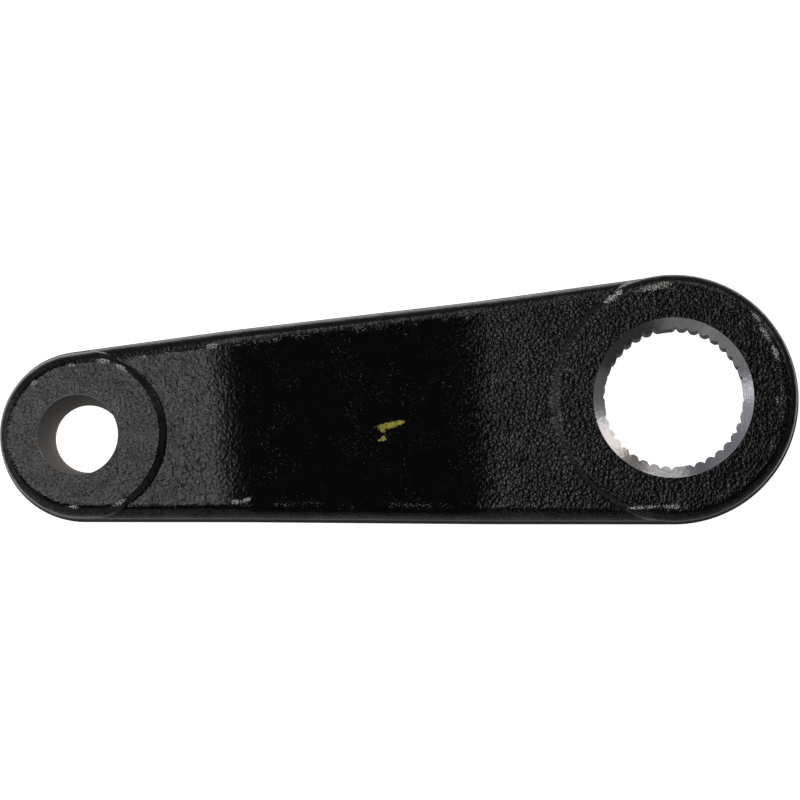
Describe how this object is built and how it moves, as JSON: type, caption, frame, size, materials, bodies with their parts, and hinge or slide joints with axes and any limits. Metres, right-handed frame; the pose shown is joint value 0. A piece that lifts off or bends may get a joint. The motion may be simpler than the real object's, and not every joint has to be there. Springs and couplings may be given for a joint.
{
  "type": "pitman arm",
  "caption": "Forged steel drop arm with a tapered serrated bore in its large boss and a tapered ball-stud bore in its small boss.",
  "frame": {"origin": "on the axis of the serrated shaft bore, in the gear-side face of the large boss", "axes": "+Z along the shaft bore's axis, from the gear-side face to the nut-side face; +X along the arm's centreline, from the shaft bore towards the stud bore; +Y completes a right-handed frame"},
  "size_m": [0.1759, 0.0552, 0.0385],
  "materials": {
    "forged_steel": "semi-gloss black paint over a lightly pebbled forging, chipped at the edges, with bare machined steel in the serrated bore and its chamfers"
  },
  "bodies": {
    "root": {"pitman_arm": "forged_steel"}
  },
  "joints": []
}
